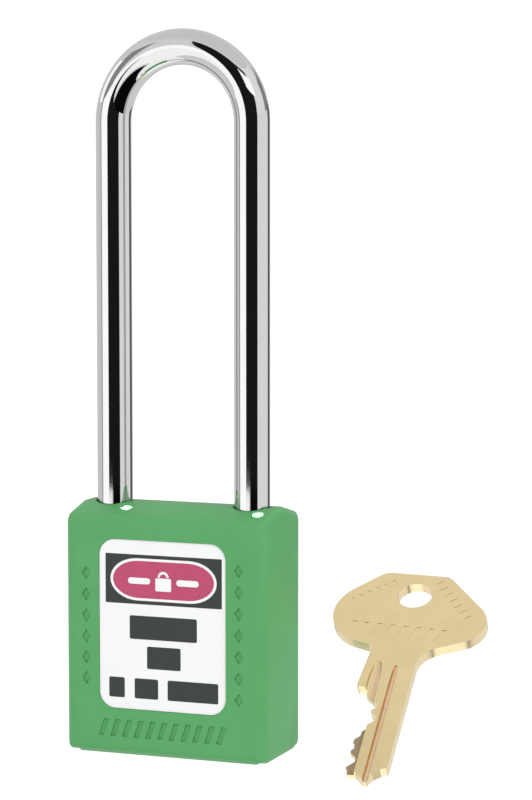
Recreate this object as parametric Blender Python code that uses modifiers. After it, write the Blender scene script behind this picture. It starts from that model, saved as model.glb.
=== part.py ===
"""A long-shackle safety padlock with its key: plastic body, steel shackle, ball lock and six-pin cylinder.

The lock stands on its base. Its centre line is the Z axis, its base is at z = 0 and its front faces -Y.
It is modelled shut but released, with the plug turned to open and both locking balls drawn in.
The shackle's heel leg is at -X and its shorter toe leg at +X. The key is a loose piece at +X.
"""

import math

import bmesh
import bpy
from mathutils import Euler, Vector

MM = 0.001
GAP = 0.3 * MM

# Body
BODY_WIDTH = 38.1 * MM
BODY_DEPTH = 20.0 * MM
BODY_HEIGHT = 44.5 * MM
RIDGE_HALF = 1.8 * MM
ROOF_DROP = 2.0 * MM
BASE_FLAT_HALF = 6.0 * MM
BASE_RISE = 0.9 * MM
CORNER_RADIUS = 2.9 * MM
EDGE_RADIUS = 1.3 * MM
CAVITY_WIDTH = 35.3 * MM
CAVITY_DEPTH = 16.4 * MM
CAVITY_TOP = 41.4 * MM

# Label windows, front and back
LABEL_WIDTH = 24.1 * MM
LABEL_HEIGHT = 30.3 * MM
LABEL_CENTRE_Z = 23.8 * MM
LABEL_RADIUS = 3.0 * MM
LABEL_THICKNESS = 0.25 * MM
RECESS_DEPTH = 0.7 * MM

# Shackle
SHACKLE_DIAMETER = 6.35 * MM
SHACKLE_INSIDE_WIDTH = 20.0 * MM
SHACKLE_CLEARANCE = 77.5 * MM
TOE_END_Z = 32.0 * MM
HEEL_END_Z = 18.0 * MM
SHACKLE_LIFT = 13.0 * MM
SHACKLE_RADIUS = SHACKLE_DIAMETER / 2
LEG_X = (SHACKLE_INSIDE_WIDTH + SHACKLE_DIAMETER) / 2
LEG_BORE = SHACKLE_RADIUS + GAP
BEND_Z = BODY_HEIGHT + SHACKLE_CLEARANCE - SHACKLE_INSIDE_WIDTH / 2

# Ball lock
BALL_RADIUS = 3.2 * MM
BALL_Z = 36.5 * MM
BALL_IN_X = 6.6 * MM
BALL_TRAVEL = 1.5 * MM
BALL_OUT_X = BALL_IN_X + BALL_TRAVEL
NOTCH_RADIUS = BALL_RADIUS + GAP
CHANNEL_RADIUS = BALL_RADIUS + 0.25 * MM
CAM_LOW = BALL_IN_X - BALL_RADIUS - 0.25 * MM
CAM_HIGH = CAM_LOW + BALL_TRAVEL
CAM_HEIGHT = 6.4 * MM
CAM_BOTTOM = 33.3 * MM

# Cylinder and plug
PLUG_RADIUS = 5.6 * MM
PLUG_LENGTH = 29.2 * MM
PLUG_BORE = PLUG_RADIUS + GAP
CYLINDER_RADIUS = 7.0 * MM
CYLINDER_LENGTH = 27.7 * MM
BIBLE_END_X = 12.6 * MM
BIBLE_HALF = 2.9 * MM
LUG_END_X = 15.2 * MM
LUG_BOTTOM = 24.2 * MM
CLIP_GROOVE_Z = 28.3 * MM
CLIP_GROOVE_HEIGHT = 1.0 * MM
CLIP_GROOVE_RADIUS = 4.6 * MM
CLIP_THICKNESS = 0.5 * MM
CLIP_OUTER_RADIUS = 6.5 * MM
TAIL_WIDTH = 2.4 * MM
TAIL_DEPTH = 5.0 * MM
TAIL_TOP = 39.0 * MM
TAIL_HOLE_RADIUS = 3.2 * MM

# Pins, counted from the keyway inwards
PIN_COUNT = 6
FIRST_PIN_Z = 4.6 * MM
PIN_PITCH = 3.1 * MM
PIN_RADIUS = 1.05 * MM
CHAMBER_RADIUS = 1.3 * MM
CHAMBER_BOTTOM = 1.3 * MM
DRIVER_LENGTH = 3.0 * MM
PIN_TIP_HEIGHT = 0.5 * MM
PIN_TIP_RADIUS = 0.4 * MM
SHEAR_GAP = 0.25 * MM
PIN_SPRING_RADIUS = 0.75 * MM
PIN_SPRING_WIRE = 0.16 * MM
CUT_DEPTHS = (2.6 * MM, 3.0 * MM, 0.9 * MM, 0.4 * MM, 1.2 * MM, 0.4 * MM)

# Key: x runs across the blade with the cuts at -x, z runs from the tip to the bow
KEY_THICKNESS = 1.9 * MM
BLADE_RIGHT = 3.4 * MM
BLADE_LEFT = -4.0 * MM
SHOULDER_LEFT = -6.05 * MM
SHOULDER_Z = 22.5 * MM
BOW_HOLE_Z = 46.05 * MM
BOW_HOLE_RADIUS = 3.15 * MM
GROOVE_X = 0.05 * MM
LONG_GROOVE_DEPTH = 1.05 * MM
LONG_GROOVE_TOP = 28.3 * MM
SIDE_GROOVE_LEFT = -4.4 * MM
SIDE_GROOVE_RIGHT = -2.2 * MM
SIDE_GROOVE_DEPTH = 0.8 * MM
SIDE_GROOVE_TOP = 28.8 * MM
KEY_PLACE = (40.33 * MM, -17.57 * MM, 0.65 * MM)
KEY_LEAN = math.radians(-56.5)
KEY_ROLL = math.radians(-1.5)
KEY_TURN = math.radians(3.4)

# Keyway in the plug: y is towards the pins, as the blade's -x is
KEYWAY_HALF = KEY_THICKNESS / 2 + 0.15 * MM
KEYWAY_TOP = GROOVE_X - BLADE_LEFT + 0.2 * MM
KEYWAY_BOTTOM = GROOVE_X - BLADE_RIGHT - 0.2 * MM
KEYWAY_END = 24.0 * MM
WARD_HALF = 0.35 * MM

# Chassis and bottom cover
CHASSIS_WIDTH = CAVITY_WIDTH - 2 * GAP
CHASSIS_DEPTH = CAVITY_DEPTH - 2 * GAP
CHASSIS_TOP = CAVITY_TOP - GAP
COVER_THICKNESS = 3.0 * MM
CHASSIS_BOTTOM = COVER_THICKNESS + GAP
HEEL_BORE_BOTTOM = 4.2 * MM
TOE_BORE_BOTTOM = 29.5 * MM
LIFT_SPRING_RADIUS = 2.4 * MM
LIFT_SPRING_WIRE = 0.4 * MM
PEG_RADIUS = 1.2 * MM
PEG_TOP = 8.0 * MM
PEG_X = 9.5 * MM
PEG_Y = 5.9 * MM
SCREW_RADIUS = 1.0 * MM
SCREW_HEAD_RADIUS = 2.1 * MM
SCREW_HEAD_HEIGHT = 1.4 * MM
SCREW_TIP_Z = 25.0 * MM


def face_outwards(shape):
    bmesh.ops.recalc_face_normals(shape, faces=shape.faces)
    if shape.calc_volume(signed=True) < 0:
        bmesh.ops.reverse_faces(shape, faces=shape.faces)


def clear_scene():
    for old in list(bpy.data.objects):
        bpy.data.objects.remove(old, do_unlink=True)


def new_collection(name):
    collection = bpy.data.collections.new(name)
    bpy.context.scene.collection.children.link(collection)
    return collection


def material(name, colour, roughness, metallic):
    made = bpy.data.materials.new(name)
    made.use_nodes = True
    shader = made.node_tree.nodes["Principled BSDF"]
    shader.inputs["Base Color"].default_value = (*colour, 1.0)
    shader.inputs["Roughness"].default_value = roughness
    shader.inputs["Metallic"].default_value = metallic
    return made


clear_scene()
PARTS = new_collection("safety_padlock")
CUTTERS = new_collection("cutters")
GREEN_PLASTIC = material("green_plastic", (0.12, 0.42, 0.16), 0.35, 0.0)
LABEL_FILM = material("label_film", (0.90, 0.91, 0.91), 0.30, 0.0)
CHROMED_STEEL = material("chromed_steel", (0.83, 0.84, 0.86), 0.08, 1.0)
DIE_CAST_ZINC = material("die_cast_zinc", (0.50, 0.51, 0.53), 0.45, 1.0)
BRASS = material("brass", (0.80, 0.66, 0.36), 0.28, 1.0)
NICKEL_SILVER = material("nickel_silver", (0.74, 0.71, 0.62), 0.25, 1.0)
SPRING_STEEL = material("spring_steel", (0.55, 0.56, 0.58), 0.30, 1.0)
HARD_STEEL = material("hard_steel", (0.62, 0.63, 0.65), 0.15, 1.0)


def as_part(mesh_or_curve, name, finish):
    made = bpy.data.objects.new(name, mesh_or_curve)
    mesh_or_curve.materials.append(finish)
    PARTS.objects.link(made)
    return made


def as_cutter(mesh, name):
    made = bpy.data.objects.new(name, mesh)
    CUTTERS.objects.link(made)
    made.hide_render = True
    made.display_type = "WIRE"
    return made


def box_mesh(name, low, high, bevel=0.0, along=None, segments=4):
    """A box between two corners. With bevel, its edges parallel to the axis along are rounded."""
    low, high = Vector(low), Vector(high)
    centre, size = (low + high) / 2, high - low
    shape = bmesh.new()
    bmesh.ops.create_cube(shape, size=1.0)
    for vert in shape.verts:
        vert.co = Vector(vert.co[i] * size[i] + centre[i] for i in range(3))
    if bevel:
        edges = [e for e in shape.edges if is_along(e, along)]
        bmesh.ops.bevel(shape, geom=edges, offset=bevel, segments=segments, profile=0.5, affect="EDGES")
    mesh = bpy.data.meshes.new(name)
    shape.to_mesh(mesh)
    shape.free()
    return mesh


def is_along(edge, axis):
    direction = (edge.verts[1].co - edge.verts[0].co).normalized()
    return abs(direction[axis]) > 0.99


def rod_mesh(name, radius, low, high, sides=48, place=(0.0, 0.0), axis=2):
    """A round rod from low to high along an axis, with place giving the other two coordinates."""
    shape = bmesh.new()
    bmesh.ops.create_cone(
        shape, cap_ends=True, segments=sides, radius1=radius, radius2=radius, depth=high - low
    )
    for vert in shape.verts:
        a, b, c = vert.co
        c += (low + high) / 2
        if axis == 2:
            vert.co = (a + place[0], b + place[1], c)
        elif axis == 1:
            vert.co = (b + place[0], c, a + place[1])
        else:
            vert.co = (c, a + place[0], b + place[1])
    mesh = bpy.data.meshes.new(name)
    shape.to_mesh(mesh)
    shape.free()
    return mesh


def ball_mesh(name, radius, centre, segments=24, rings=12):
    shape = bmesh.new()
    bmesh.ops.create_uvsphere(shape, u_segments=segments, v_segments=rings, radius=radius)
    bmesh.ops.translate(shape, verts=shape.verts, vec=centre)
    mesh = bpy.data.meshes.new(name)
    shape.to_mesh(mesh)
    shape.free()
    return mesh


def flat_mesh(name, outlines, low, high):
    """A flat solid from closed outlines in X and Y, a second one being a hole, between two heights."""
    curve = bpy.data.curves.new(name, "CURVE")
    curve.dimensions = "2D"
    curve.fill_mode = "BOTH"
    curve.extrude = (high - low) / 2
    for outline in outlines:
        spline = curve.splines.new("POLY")
        spline.points.add(len(outline) - 1)
        for point, (x, y) in zip(spline.points, outline):
            point.co = (x, y, 0.0, 1.0)
        spline.use_cyclic_u = True
    guide = bpy.data.objects.new(name, curve)
    CUTTERS.objects.link(guide)
    mesh = mesh_of(guide)
    for vert in mesh.vertices:
        vert.co.z += (low + high) / 2
    return mesh


def mesh_of(guide):
    """The mesh that a curve object makes, with its caps welded. The curve is removed."""
    bpy.context.view_layer.update()
    graph = bpy.context.evaluated_depsgraph_get()
    mesh = bpy.data.meshes.new_from_object(guide.evaluated_get(graph))
    bpy.data.objects.remove(guide, do_unlink=True)
    shape = bmesh.new()
    shape.from_mesh(mesh)
    bmesh.ops.remove_doubles(shape, verts=shape.verts, dist=0.001 * MM)
    face_outwards(shape)
    shape.to_mesh(mesh)
    shape.free()
    return mesh


def wire_mesh(name, points, radius, resolution):
    """A round wire along points, as a welded mesh."""
    curve = bpy.data.curves.new(name, "CURVE")
    curve.dimensions = "3D"
    curve.bevel_depth = radius
    curve.bevel_resolution = resolution
    curve.use_fill_caps = True
    spline = curve.splines.new("POLY")
    spline.points.add(len(points) - 1)
    for point, place in zip(spline.points, points):
        point.co = (*place, 1.0)
    guide = bpy.data.objects.new(name, curve)
    CUTTERS.objects.link(guide)
    return mesh_of(guide)


def boolean(target, cutter, operation="DIFFERENCE"):
    step = target.modifiers.new(cutter.name, "BOOLEAN")
    step.operation = operation
    step.solver = "EXACT"
    step.object = cutter


def cut(target, mesh):
    boolean(target, as_cutter(mesh, mesh.name))


def join(target, mesh):
    boolean(target, as_cutter(mesh, mesh.name), "UNION")


def smooth(part, angle=35):
    part.data.shade_smooth()
    part.data.set_sharp_from_angle(angle=math.radians(angle))


def arc(centre, radius, start, end, steps):
    """Points on an arc between two angles in degrees, both ends included."""
    turns = [math.radians(start + (end - start) * i / steps) for i in range(steps + 1)]
    return [(centre[0] + radius * math.cos(t), centre[1] + radius * math.sin(t)) for t in turns]


def circle(radius, steps, centre=(0.0, 0.0)):
    return arc(centre, radius, 0, 360, steps)[:-1]


def rounded(corners, steps=6):
    """An outline through corners (x, y, radius), each rounded with its own radius. 0 leaves it sharp."""
    outline = []
    count = len(corners)
    for i, (x, y, radius) in enumerate(corners):
        here = Vector((x, y))
        back = (Vector(corners[i - 1][:2]) - here).normalized()
        ahead = (Vector(corners[(i + 1) % count][:2]) - here).normalized()
        if not radius:
            outline.append((x, y))
            continue
        half = back.angle(ahead) / 2
        centre = here + (back + ahead).normalized() * radius / math.sin(half)
        start = here + back * radius / math.tan(half) - centre
        end = here + ahead * radius / math.tan(half) - centre
        sweep = start.angle_signed(end)
        first = math.atan2(start.y, start.x)
        for k in range(steps + 1):
            turn = first - sweep * k / steps
            outline.append((centre.x + radius * math.cos(turn), centre.y + radius * math.sin(turn)))
    return outline


def make_body_shell():
    """The plastic shell: a block with a low roof, hollow from below."""
    half = BODY_DEPTH / 2
    section = [
        (-half, BASE_RISE),
        (-BASE_FLAT_HALF, 0.0),
        (BASE_FLAT_HALF, 0.0),
        (half, BASE_RISE),
        (half, BODY_HEIGHT - ROOF_DROP),
        (RIDGE_HALF, BODY_HEIGHT),
        (-RIDGE_HALF, BODY_HEIGHT),
        (-half, BODY_HEIGHT - ROOF_DROP),
    ]
    mesh = flat_mesh("body_shell", [section], -BODY_WIDTH / 2, BODY_WIDTH / 2)
    # The section lies in X and Y and is thick in Z: turn it so that it runs along X.
    for vert in mesh.vertices:
        y, z, x = vert.co
        vert.co = (x, y, z)
    shape = bmesh.new()
    shape.from_mesh(mesh)
    bmesh.ops.dissolve_limit(shape, angle_limit=math.radians(1), verts=shape.verts, edges=shape.edges)
    face_outwards(shape)
    weights = shape.edges.layers.float.new("bevel_weight_edge")
    for edge in shape.edges:
        if edge.calc_face_angle() > math.radians(40):
            edge[weights] = 1.0 if is_along(edge, 2) else EDGE_RADIUS / CORNER_RADIUS
    shape.to_mesh(mesh)
    shape.free()
    shell = as_part(mesh, "body_shell", GREEN_PLASTIC)
    soften = shell.modifiers.new("rounded_edges", "BEVEL")
    soften.limit_method = "WEIGHT"
    soften.width = CORNER_RADIUS
    soften.segments = 4
    cavity = (CAVITY_WIDTH / 2, CAVITY_DEPTH / 2)
    cut(shell, box_mesh(
        "shell_cavity", (-cavity[0], -cavity[1], -1 * MM), (cavity[0], cavity[1], CAVITY_TOP), 0.8 * MM, 2
    ))
    for side, name in ((-1, "heel_hole"), (1, "toe_hole")):
        cut(shell, rod_mesh(name, LEG_BORE, 40 * MM, 46 * MM, 40, (side * LEG_X, 0.0)))
    for side, name in ((-1, "front_window"), (1, "back_window")):
        cut(shell, window_mesh(name, side, LABEL_WIDTH, LABEL_HEIGHT, half - RECESS_DEPTH, half + 1 * MM))
    smooth(shell)


def window_mesh(name, side, width, height, near, far):
    """A plate with rounded corners parallel to the front, between two distances from the middle plane."""
    y = sorted((side * near, side * far))
    low = (-width / 2, y[0], LABEL_CENTRE_Z - height / 2)
    high = (width / 2, y[1], LABEL_CENTRE_Z + height / 2)
    return box_mesh(name, low, high, LABEL_RADIUS, 1, 6)


def make_labels():
    floor = BODY_DEPTH / 2 - RECESS_DEPTH
    width, height = LABEL_WIDTH - 2 * GAP, LABEL_HEIGHT - 2 * GAP
    for side, name in ((-1, "label_front"), (1, "label_back")):
        near = floor + GAP
        as_part(window_mesh(name, side, width, height, near, near + LABEL_THICKNESS), name, LABEL_FILM)


def make_bottom_cover():
    """The plate that closes the base round the cylinder's face, with four pegs pressed into the chassis."""
    half_x, half_y = CHASSIS_WIDTH / 2, CHASSIS_DEPTH / 2
    mesh = box_mesh("bottom_cover", (-half_x, -half_y, 0.0), (half_x, half_y, COVER_THICKNESS), 0.8 * MM, 2)
    cover = as_part(mesh, "bottom_cover", GREEN_PLASTIC)
    soften = cover.modifiers.new("edge_chamfer", "BEVEL")
    soften.width = 0.4 * MM
    soften.segments = 1
    soften.angle_limit = math.radians(50)
    for i, (x, y) in enumerate(peg_places()):
        join(cover, rod_mesh(f"cover_peg_{i + 1}", PEG_RADIUS, COVER_THICKNESS / 2, PEG_TOP, 16, (x, y)))
    cut(cover, rod_mesh("cover_round_opening", CYLINDER_RADIUS + GAP, -1 * MM, 4 * MM, 48))
    opening = BIBLE_HALF + GAP
    cut(cover, box_mesh(
        "cover_bible_opening", (0.0, -opening, -1 * MM), (BIBLE_END_X + GAP, opening, 4 * MM)
    ))


def peg_places():
    return [(x, y) for x in (-PEG_X, PEG_X) for y in (-PEG_Y, PEG_Y)]


def make_chassis():
    """The die-cast block that guides the shackle's legs and holds the balls, the cam and the cylinder."""
    half_x, half_y = CHASSIS_WIDTH / 2, CHASSIS_DEPTH / 2
    mesh = box_mesh(
        "inner_chassis", (-half_x, -half_y, CHASSIS_BOTTOM), (half_x, half_y, CHASSIS_TOP), 0.8 * MM, 2
    )
    chassis = as_part(mesh, "inner_chassis", DIE_CAST_ZINC)
    above, below = CHASSIS_TOP + 1 * MM, CHASSIS_BOTTOM - 1 * MM
    pocket_top = CYLINDER_LENGTH + GAP
    cut(chassis, rod_mesh("heel_bore", LEG_BORE, HEEL_BORE_BOTTOM, above, 40, (-LEG_X, 0.0)))
    cut(chassis, rod_mesh("toe_bore", LEG_BORE, TOE_BORE_BOTTOM, above, 40, (LEG_X, 0.0)))
    cut(chassis, rod_mesh("ball_channel", CHANNEL_RADIUS, -LEG_X, LEG_X, 32, (0.0, BALL_Z), 0))
    cut(chassis, rod_mesh("cam_pocket", CAM_HIGH + GAP, CAM_BOTTOM - GAP, above, 40))
    cut(chassis, rod_mesh("tail_hole", TAIL_HOLE_RADIUS, PLUG_LENGTH, CAM_BOTTOM, 32))
    cut(chassis, rod_mesh("clip_pocket", CLIP_OUTER_RADIUS + 0.4 * MM, below, PLUG_LENGTH + GAP, 40))
    cut(chassis, rod_mesh("cylinder_pocket", CYLINDER_RADIUS + GAP, below, pocket_top, 48))
    cut(chassis, box_mesh(
        "bible_pocket",
        (0.0, -BIBLE_HALF - 0.4 * MM, below),
        (LUG_END_X + GAP, BIBLE_HALF + 0.4 * MM, pocket_top),
    ))
    cut(chassis, rod_mesh("screw_hole", SCREW_RADIUS + GAP, 27 * MM, 31 * MM, 16, (LEG_X, 0.0)))
    for i, place in enumerate(peg_places()):
        cut(chassis, rod_mesh(f"peg_hole_{i + 1}", PEG_RADIUS + GAP, below, PEG_TOP + GAP, 16, place))


def pin_height(index):
    return FIRST_PIN_Z + index * PIN_PITCH


def make_cylinder():
    """The fixed part of the lock cylinder, with its pin chambers and the lug for its retaining screw."""
    cylinder = as_part(
        rod_mesh("cylinder_shell", CYLINDER_RADIUS, 0.0, CYLINDER_LENGTH, 48), "cylinder_shell", BRASS
    )
    join(cylinder, box_mesh("bible", (1 * MM, -BIBLE_HALF, 0.0), (BIBLE_END_X, BIBLE_HALF, CYLINDER_LENGTH)))
    lug_corner = (LUG_END_X, BIBLE_HALF, CYLINDER_LENGTH)
    join(cylinder, box_mesh("lug", (8 * MM, -BIBLE_HALF, LUG_BOTTOM), lug_corner))
    cut(cylinder, rod_mesh("plug_bore", PLUG_BORE, -1 * MM, CYLINDER_LENGTH + 1 * MM, 48))
    cut(cylinder, rod_mesh("lug_hole", SCREW_RADIUS + GAP, 23 * MM, 29 * MM, 16, (LEG_X, 0.0)))
    for i in range(PIN_COUNT):
        place = (0.0, pin_height(i))
        chamber = rod_mesh(
            f"driver_chamber_{i + 1}", CHAMBER_RADIUS, 5 * MM, BIBLE_END_X + 1 * MM, 16, place, 0
        )
        cut(cylinder, chamber)
    half = BIBLE_HALF - 0.7 * MM
    plate = box_mesh(
        "chamber_cover",
        (BIBLE_END_X + GAP, -half, CHASSIS_BOTTOM),
        (BIBLE_END_X + GAP + 0.5 * MM, half, pin_height(PIN_COUNT - 1) + 2 * MM),
        0.6 * MM,
        0,
    )
    as_part(plate, "chamber_cover", BRASS)


def make_plug():
    """The plug that the key turns, with its keyway, chambers, clip groove and flat tail."""
    barrel = rod_mesh("cylinder_plug", PLUG_RADIUS, 0.0, PLUG_LENGTH, 48)
    plug = as_part(barrel, "cylinder_plug", NICKEL_SILVER)
    tail = (TAIL_WIDTH / 2, TAIL_DEPTH / 2)
    join(plug, box_mesh("tail", (-tail[0], -tail[1], 26 * MM), (tail[0], tail[1], TAIL_TOP)))
    keyway = [
        (-KEYWAY_HALF, KEYWAY_BOTTOM),
        (KEYWAY_HALF, KEYWAY_BOTTOM),
        (KEYWAY_HALF, -WARD_HALF),
        (0.0, -WARD_HALF),
        (0.0, WARD_HALF),
        (KEYWAY_HALF, WARD_HALF),
        (KEYWAY_HALF, KEYWAY_TOP),
        (-KEYWAY_HALF, KEYWAY_TOP),
    ]
    cut(plug, flat_mesh("keyway", [keyway], -1 * MM, KEYWAY_END))
    for i in range(PIN_COUNT):
        place = (0.0, pin_height(i))
        chamber = rod_mesh(
            f"key_chamber_{i + 1}", CHAMBER_RADIUS, CHAMBER_BOTTOM, PLUG_RADIUS + 1 * MM, 16, place, 1
        )
        cut(plug, chamber)
    low, high = CLIP_GROOVE_Z - CLIP_GROOVE_HEIGHT / 2, CLIP_GROOVE_Z + CLIP_GROOVE_HEIGHT / 2
    ring = [circle(PLUG_RADIUS + 1 * MM, 48), circle(CLIP_GROOVE_RADIUS, 48)]
    cut(plug, flat_mesh("clip_groove", ring, low, high))
    smooth(plug)


def make_plug_clip():
    """The open spring ring that keeps the plug in its cylinder."""
    inner, outer, opening = CLIP_GROOVE_RADIUS + GAP, CLIP_OUTER_RADIUS, 35
    outline = arc((0, 0), outer, opening, 360 - opening, 30) + arc((0, 0), inner, 360 - opening, opening, 30)
    half = CLIP_THICKNESS / 2
    clip = flat_mesh("plug_clip", [outline], CLIP_GROOVE_Z - half, CLIP_GROOVE_Z + half)
    as_part(clip, "plug_clip", SPRING_STEEL)


def turned_mesh(name, profile, sides=12, closed=False):
    """A solid turned about Z from (radius, height) points: a closed outline, or one from Z back to Z."""
    shape = bmesh.new()
    verts = [shape.verts.new((radius, 0.0, height)) for radius, height in profile]
    last = verts[:1] if closed else []
    edges = [shape.edges.new(pair) for pair in zip(verts, verts[1:] + last)]
    bmesh.ops.spin(
        shape, geom=verts + edges, axis=(0, 0, 1), cent=(0, 0, 0), angle=math.tau, steps=sides, use_merge=True
    )
    bmesh.ops.remove_doubles(shape, verts=shape.verts, dist=0.001 * MM)
    face_outwards(shape)
    mesh = bpy.data.meshes.new(name)
    shape.to_mesh(mesh)
    shape.free()
    return mesh


def coil_points(radius, low, high, turns, steps):
    """Points of a compression spring along Z whose first and last turns lie flat."""
    points = []
    for k in range(turns * steps + 1):
        turn = k / steps
        rise = min(max((turn - 1) / (turns - 2), 0.0), 1.0)
        angle = math.tau * turn
        points.append((radius * math.cos(angle), radius * math.sin(angle), low + (high - low) * rise))
    return points


def make_pins():
    """Key pins in the plug, and driver pins with their springs in the cylinder's bible."""
    top = PLUG_RADIUS - SHEAR_GAP
    driver_start = PLUG_RADIUS + SHEAR_GAP
    for i, depth in enumerate(CUT_DEPTHS):
        blade_edge = GROOVE_X - BLADE_LEFT - depth
        bottom = blade_edge + 0.1 * MM
        taper = [(PIN_RADIUS, bottom + PIN_TIP_HEIGHT), (PIN_TIP_RADIUS, bottom)]
        profile = [(0.0, top), (PIN_RADIUS, top)] + taper + [(0.0, bottom)]
        key_pin = as_part(turned_mesh(f"key_pin_{i + 1}", profile), f"key_pin_{i + 1}", BRASS)
        key_pin.rotation_euler = (math.radians(-90), 0.0, 0.0)
        key_pin.location = (0.0, 0.0, pin_height(i))
        smooth(key_pin)
        driver_end = driver_start + DRIVER_LENGTH
        place = (0.0, pin_height(i))
        driver_mesh = rod_mesh(f"driver_pin_{i + 1}", PIN_RADIUS, driver_start, driver_end, 12, place, 0)
        smooth(as_part(driver_mesh, f"driver_pin_{i + 1}", BRASS))
        low = driver_end + 0.4 * MM
        wire = PIN_SPRING_WIRE
        coil = coil_points(PIN_SPRING_RADIUS, low, BIBLE_END_X - wire, 6, 8)
        turned = [(z, y, pin_height(i) - x) for x, y, z in coil]
        as_part(wire_mesh(f"pin_spring_{i + 1}", turned, wire, 0), f"pin_spring_{i + 1}", SPRING_STEEL)


def make_cam():
    """The two-lobed cam on the plug's tail. Turning it by a quarter pushes both balls out."""
    rise_end, hold_end, fall_end = 90, 120, 165
    outline = []
    for step in range(72):
        beta = step * 5 % 180
        if beta <= rise_end:
            share = beta / rise_end
        elif beta <= hold_end:
            share = 1.0
        else:
            share = max(0.0, (fall_end - beta) / (fall_end - hold_end))
        radius = CAM_LOW + (CAM_HIGH - CAM_LOW) * share
        angle = math.radians(step * 5)
        outline.append((radius * math.cos(angle), radius * math.sin(angle)))
    x, y = TAIL_WIDTH / 2 + GAP, TAIL_DEPTH / 2 + GAP
    slot = [(-x, -y), (x, -y), (x, y), (-x, y)]
    mesh = flat_mesh("locking_cam", [outline, slot], CAM_BOTTOM, CAM_BOTTOM + CAM_HEIGHT)
    as_part(mesh, "locking_cam", HARD_STEEL)


def make_balls():
    for side, name in ((-1, "locking_ball_heel"), (1, "locking_ball_toe")):
        ball = as_part(ball_mesh(name, BALL_RADIUS, (0, 0, 0)), name, HARD_STEEL)
        ball.location = (side * BALL_IN_X, 0.0, BALL_Z)
        ball.data.shade_smooth()


def make_shackle():
    """A bent round bar: long heel leg, short toe leg, ball notches, and a neck that stops the lift."""
    bend = arc((0.0, BEND_Z), LEG_X, 180, 0, 28)
    path = [(-LEG_X, 0.0, HEEL_END_Z)]
    path += [(x, 0.0, z) for x, z in bend]
    path += [(LEG_X, 0.0, TOE_END_Z)]
    shackle = as_part(wire_mesh("shackle", path, SHACKLE_RADIUS, 8), "shackle", CHROMED_STEEL)
    for side, name in ((-1, "heel_notch"), (1, "toe_notch")):
        cut(shackle, ball_mesh(name, NOTCH_RADIUS, (side * BALL_OUT_X, 0.0, BALL_Z), 32, 16))
    neck = [
        (x + LEG_X - BALL_OUT_X, z)
        for x, z in arc((0.0, BALL_Z - SHACKLE_LIFT), NOTCH_RADIUS, 90, 270, 14)
    ]
    wide = 5 * MM
    profile = [(wide, neck[0][1])] + neck + [(wide, neck[-1][1])]
    ring = turned_mesh("heel_neck", profile, 32, closed=True)
    for vert in ring.vertices:
        vert.co.x -= LEG_X
    cut(shackle, ring)
    smooth(shackle)


def make_shackle_spring():
    wire = LIFT_SPRING_WIRE
    coil = coil_points(LIFT_SPRING_RADIUS, HEEL_BORE_BOTTOM + GAP + wire, HEEL_END_Z - GAP - wire, 9, 10)
    coil = [(x - LEG_X, y, z) for x, y, z in coil]
    as_part(wire_mesh("shackle_spring", coil, wire, 0), "shackle_spring", SPRING_STEEL)


def make_retaining_screw():
    """The screw at the bottom of the toe bore that holds the cylinder in the chassis."""
    under_head = TOE_BORE_BOTTOM + GAP
    head_top = under_head + SCREW_HEAD_HEIGHT
    shank_top = under_head + 0.5 * MM
    shank = rod_mesh("cylinder_retaining_screw", SCREW_RADIUS, SCREW_TIP_Z, shank_top, 16, (LEG_X, 0.0))
    screw = as_part(shank, "cylinder_retaining_screw", HARD_STEEL)
    join(screw, rod_mesh("screw_head", SCREW_HEAD_RADIUS, under_head, head_top, 24, (LEG_X, 0.0)))
    drive = 0.3 * MM
    cut(screw, box_mesh(
        "screw_slot", (LEG_X - 3 * MM, -drive, head_top - 0.7 * MM), (LEG_X + 3 * MM, drive, head_top + 1 * MM)
    ))


def cut_edge():
    """The blade's cut edge from the shoulder to the tip: flats at the pins, with 45 degree slopes between."""
    flat = 0.45 * MM
    edge = []
    reach = [-BLADE_LEFT - depth for depth in CUT_DEPTHS]
    heights = [SHOULDER_Z - pin_height(i) for i in range(PIN_COUNT)]
    first_land = heights[0] + flat + (-BLADE_LEFT - reach[0])
    edge.append((BLADE_LEFT, first_land))
    for i in range(PIN_COUNT):
        edge += [(-reach[i], heights[i] + flat), (-reach[i], heights[i] - flat)]
        if i + 1 < PIN_COUNT:
            span = PIN_PITCH - 2 * flat
            peak = (reach[i] + reach[i + 1] + span) / 2
            if peak <= -BLADE_LEFT:
                edge.append((-peak, heights[i] - flat - (peak - reach[i])))
            else:
                edge.append((BLADE_LEFT, heights[i] - flat - (-BLADE_LEFT - reach[i])))
                edge.append((BLADE_LEFT, heights[i + 1] + flat + (-BLADE_LEFT - reach[i + 1])))
    return edge


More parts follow.
